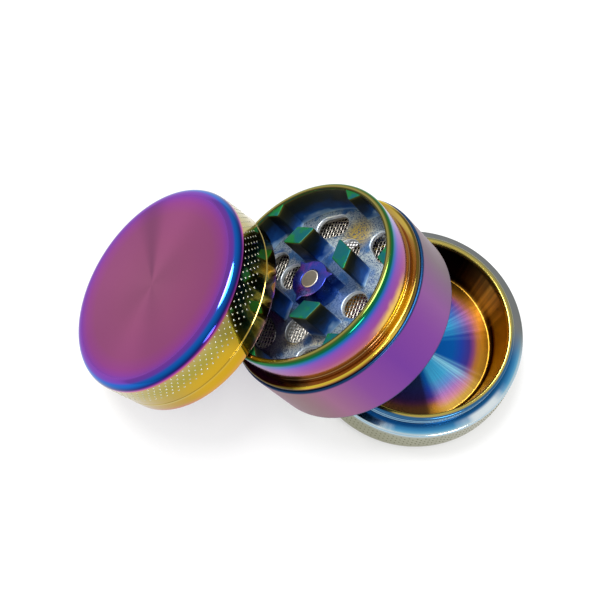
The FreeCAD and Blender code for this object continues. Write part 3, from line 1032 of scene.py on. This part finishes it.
def magnet(name, bottom):
    top = bottom + MAGNET_HEIGHT
    return turned(name, softened([
        (0, bottom),
        (MAGNET_RADIUS, bottom, SOFT_ROUND),
        (MAGNET_RADIUS, top, SOFT_ROUND),
        (0, top),
    ]))


def make_screen_ring(steel):
    inner = SCREEN_RADIUS - SCREEN_RING_WIDTH
    mesh = ring("screen_hold_ring", inner, SCREEN_RADIUS, SCREEN_TOP, SCREEN_RING_TOP, SCREEN_RING_ROUND)
    add_piece("screen_hold_ring", mesh, steel, SIEVE_PLACE, "sieve", "screen_ring")


def drop_slot():
    """Outline of a drop hole drawn out along its circle, with round ends."""
    points = []
    steps = 24
    for centre_turn, first in ((OUTER_HOLE_HALF_TURN, 0.0), (-OUTER_HOLE_HALF_TURN, 180.0)):
        centre = polar(OUTER_HOLE_CIRCLE, centre_turn)
        for step in range(steps + 1):
            x, y = polar(OUTER_HOLE_RADIUS, first + centre_turn + 180.0 * step / steps)
            points.append((centre[0] + x, centre[1] + y))
    return points


def hub_outline():
    """A round hub with the three corners of a triangle standing out of it."""
    points = []
    steps = 144
    spacing = 360.0 / HUB_CORNER_COUNT
    flat = HUB_CORNER_RADIUS * math.cos(math.radians(spacing / 2))
    for step in range(steps):
        degrees = 360.0 * step / steps
        from_flat = (degrees - HUB_CORNER_PHASE) % spacing - spacing / 2
        triangle = flat / math.cos(math.radians(from_flat))
        points.append(polar(max(HUB_RADIUS, triangle), degrees))
    return points


def make_chamber():
    """Neck with its flange and skirt, pierced floor, teeth and hub."""
    shell = turned("chamber_neck", softened([
        (CHAMBER_BORE, SKIRT_BOTTOM, SOFT_ROUND),
        (SKIRT_RADIUS, SKIRT_BOTTOM, SOFT_ROUND),
        (SKIRT_RADIUS, FLANGE_BOTTOM, CREASE_ROUND),
        (FLANGE_RADIUS, FLANGE_BOTTOM, FINE_ROUND),
        (FLANGE_RADIUS, FLANGE_TOP, FLANGE_ROUND),
        (GROOVE_RADIUS, FLANGE_TOP, SOFT_ROUND),
        (GROOVE_RADIUS, GROOVE_TOP - GROOVE_BLEND, FULL_ROUND),
        (NECK_RADIUS, GROOVE_TOP, FULL_ROUND),
        (NECK_RADIUS, CHAMBER_RIM, NECK_RIM_ROUND),
        (CHAMBER_BORE, CHAMBER_RIM, SOFT_ROUND),
    ]))
    cast = cast_finish()
    second_material(shell, lambda r, z: r < CHAMBER_BORE + BORE_MARGIN)
    finishes = [chamber_finish(), cast]
    add_piece("chamber_neck", shell, finishes, SIEVE_PLACE, "chamber", "tooth_chamber")

    inner_hole = circle(INNER_HOLE_RADIUS, (INNER_HOLE_CIRCLE, 0))
    holes = around(inner_hole, INNER_HOLE_COUNT, INNER_HOLE_PHASE)
    holes += around(drop_slot(), OUTER_HOLE_COUNT, OUTER_HOLE_PHASE)
    outlines = [circle(CHAMBER_BORE + FLOOR_OVERLAP, steps=160)] + holes
    floor_bottom = CHAMBER_FLOOR - CHAMBER_FLOOR_THICKNESS
    floor = plate("chamber_floor", outlines, floor_bottom, CHAMBER_FLOOR, HOLE_LIP_ROUND)
    add_piece("chamber_floor", floor, cast, SIEVE_PLACE, "chamber")

    root = CHAMBER_FLOOR - ROOT_DEPTH
    tooth = rhombus(INNER_TOOTH_CIRCLE, INNER_TOOTH_RADIAL, INNER_TOOTH_ACROSS, INNER_TOOTH_ROUND)
    outlines = around(tooth, INNER_TOOTH_COUNT, INNER_TOOTH_PHASE)
    teeth = plate("chamber_teeth", outlines, root, TOOTH_TOP, SOFT_ROUND)
    add_piece("chamber_teeth", teeth, cast, SIEVE_PLACE, "chamber")

    wall_tooth = softened([
        (WALL_TOOTH_TIP, 0, POINT_ROUND),
        (CHAMBER_BORE + WALL_TOOTH_ROOT, -WALL_TOOTH_HALF_WIDTH, FINE_ROUND),
        (CHAMBER_BORE + WALL_TOOTH_ROOT, WALL_TOOTH_HALF_WIDTH, FINE_ROUND),
    ])
    outlines = around(wall_tooth, WALL_TOOTH_COUNT, WALL_TOOTH_PHASE)
    wall_teeth = plate("chamber_wall_teeth", outlines, root, TOOTH_TOP, TOP_ROUND)
    add_piece("chamber_wall_teeth", wall_teeth, cast, SIEVE_PLACE, "chamber")

    hub = plate("chamber_hub", [hub_outline(), circle(MAGNET_WELL_RADIUS)], root, HUB_TOP, TOP_ROUND)
    add_piece("chamber_hub", hub, hub_finish(), SIEVE_PLACE, "chamber")


def make_hub_magnet():
    mesh = magnet("hub_magnet", HUB_TOP - SEAT_GAP - MAGNET_HEIGHT)
    nickel = nickel_finish("hub_magnet_nickel", SIEVE_PLACE)
    add_piece("hub_magnet", mesh, nickel, SIEVE_PLACE, "chamber", "chamber_magnet")


def make_lid():
    """Cap with a rolled edge round a spun face, a dotted side, and teeth and a post inside."""
    half_groove = LID_GROOVE_WIDTH / 2
    skin_radius = FACE_RADIUS - FACE_SKIN
    skin_bottom = LID_HEIGHT - FACE_SKIN
    roll = []
    for degrees in range(0, 91, ROLL_STEP_DEGREES):
        out, up = polar(LID_ROLL, degrees)
        roll.append((FACE_RADIUS + out, LID_HEIGHT - LID_ROLL + up))
    shell = turned("lid_casting", softened([
        (LID_BORE, 0, FULL_ROUND),
        (OUTER_RADIUS, 0, RIM_BREAK),
        (OUTER_RADIUS, LID_GROOVE_HEIGHT - half_groove, LID_GROOVE_LIP_ROUND),
        (OUTER_RADIUS - LID_GROOVE_DEPTH, LID_GROOVE_HEIGHT, LID_GROOVE_ROOT_ROUND),
        (OUTER_RADIUS, LID_GROOVE_HEIGHT + half_groove, LID_GROOVE_LIP_ROUND),
        *roll,
        (skin_radius, LID_HEIGHT),
        (skin_radius, skin_bottom),
        (0, skin_bottom),
        (0, LID_ROOF),
        (LID_BORE, LID_ROOF, ROOF_ROUND),
    ]))
    finish = lid_finish()
    add_piece("lid_casting", shell, finish, LID_PLACE, "lid", "lid")

    face = turned("lid_face", [
        (0, skin_bottom),
        (skin_radius, skin_bottom),
        (skin_radius, LID_HEIGHT),
        (0, LID_HEIGHT),
    ])
    add_piece("lid_face", face, face_finish(), LID_PLACE, "lid", own_axes=True)

    dots = studs("lid_side_studs", lambda level: OUTER_RADIUS, LID_STUD_LEVELS, LID_STUD_COLUMNS,
                 LID_STUD_RADIUS, LID_STUD_HEIGHT)
    add_piece("lid_side_studs", dots, stud_finish("lid_studs", LID_PLACE), LID_PLACE, "lid")

    root = LID_ROOF + ROOT_DEPTH
    tooth = rhombus(LID_TOOTH_CIRCLE, LID_TOOTH_RADIAL, LID_TOOTH_ACROSS, POINT_ROUND)
    outlines = around(tooth, LID_TOOTH_COUNT, LID_TOOTH_PHASE)
    teeth = plate("lid_teeth", outlines, LID_TOOTH_LIFT, root, FULL_ROUND)
    add_piece("lid_teeth", teeth, finish, LID_PLACE, "lid")

    outlines = [circle(LID_POST_RADIUS), circle(MAGNET_WELL_RADIUS)]
    post = plate("lid_post", outlines, LID_POST_END, root, SOFT_ROUND)
    add_piece("lid_post", post, finish, LID_PLACE, "lid")


def make_post_magnet():
    mesh = magnet("post_magnet", LID_POST_END + SEAT_GAP)
    nickel = nickel_finish("post_magnet_nickel", LID_PLACE)
    add_piece("post_magnet", mesh, nickel, LID_PLACE, "lid", "lid_magnet")


def make_glide_ring():
    inner = GLIDE_RING_RADIUS - GLIDE_RING_WIDTH
    mesh = ring("nylon_glide_ring", inner, GLIDE_RING_RADIUS, GLIDE_RING_BOTTOM, GLIDE_RING_TOP, FULL_ROUND)
    add_piece("nylon_glide_ring", mesh, nylon_finish(), LID_PLACE, "glide", "glide_ring")


# Camera, lamps and floor

def make_camera():
    data = bpy.data.cameras.new("camera")
    data.lens = CAMERA_LENS
    data.sensor_width = 36.0
    data.clip_start = 0.01
    camera = bpy.data.objects.new("camera", data)
    bpy.context.scene.collection.objects.link(camera)
    place = Vector(CAMERA_PLACE) * MM
    back = (place - Vector(CAMERA_AIM) * MM).normalized()
    turn = (-back).to_track_quat("-Z", "Y").to_matrix().to_4x4()
    roll = Matrix.Rotation(math.radians(CAMERA_ROLL), 4, "Z")
    camera.matrix_world = Matrix.Translation(place) @ turn @ roll
    bpy.context.scene.camera = camera


def make_light(name, place, size, power):
    """A round soft lamp that shines at the middle of the part."""
    data = bpy.data.lights.new(name, "AREA")
    data.shape = "DISK"
    data.size = size
    data.energy = power
    lamp = bpy.data.objects.new(name, data)
    bpy.context.scene.collection.objects.link(lamp)
    way = (Vector(place) - Vector(LAMP_AIM)).normalized()
    turn = way.to_track_quat("Z", "Y").to_matrix().to_4x4()
    lamp.matrix_world = Matrix.Translation(place) @ turn


def floor_finish():
    """White paper that glows to whatever looks at it, less where a piece is close over it."""
    paper = Finish("paper_floor", Matrix.Identity(4))
    seen = paper.node("ShaderNodeLightPath", output="Is Camera Ray")
    shone = paper.node("ShaderNodeLightPath", output="Is Glossy Ray")
    through = paper.node("ShaderNodeLightPath", output="Is Transmission Ray")
    matt = paper.node("ShaderNodeBsdfDiffuse", {}, {"Color": PAPER})
    glow = paper.node("ShaderNodeEmission", {}, {"Color": WHITE, "Strength": 1.0})
    clear = paper.node("ShaderNodeAmbientOcclusion", {"samples": 16}, {"Distance": SHADE_REACH}, output="AO")
    share = (seen + shone + through) * clear * FLOOR_GLOW
    shader = paper.node("ShaderNodeMixShader", {}, {0: share, 1: matt, 2: glow})
    paper.node("ShaderNodeOutputMaterial", {}, {0: shader})
    return paper.material


def make_stage():
    """White floor that keeps a soft shadow, an even sky and soft lamps."""
    scene = bpy.context.scene
    scene.view_settings.view_transform = "Standard"
    corners = [(-FLOOR_SPAN, -FLOOR_SPAN, 0), (FLOOR_SPAN, -FLOOR_SPAN, 0), (FLOOR_SPAN, FLOOR_SPAN, 0),
               (-FLOOR_SPAN, FLOOR_SPAN, 0)]
    mesh = bpy.data.meshes.new("floor")
    mesh.from_pydata(corners, [], [(0, 1, 2, 3)])
    mesh.materials.append(floor_finish())
    floor = bpy.data.objects.new("floor", mesh)
    scene.collection.objects.link(floor)
    world = bpy.data.worlds.new("studio")
    scene.world = world
    world.use_nodes = True
    sky = world.node_tree.nodes["Background"]
    sky.inputs["Color"].default_value = WHITE
    sky.inputs["Strength"].default_value = SKY_STRENGTH
    make_light("softbox", place=(-0.25, 0.15, 0.6), size=0.35, power=5.0)
    make_light("side_panel", place=(0.35, -0.3, 0.35), size=0.2, power=1.2)


make_camera()
make_stage()
steel = steel_finish()
make_bowl()
make_sieve()
make_screen(steel)
make_screen_ring(steel)
make_chamber()
make_hub_magnet()
make_lid()
make_post_magnet()
make_glide_ring()
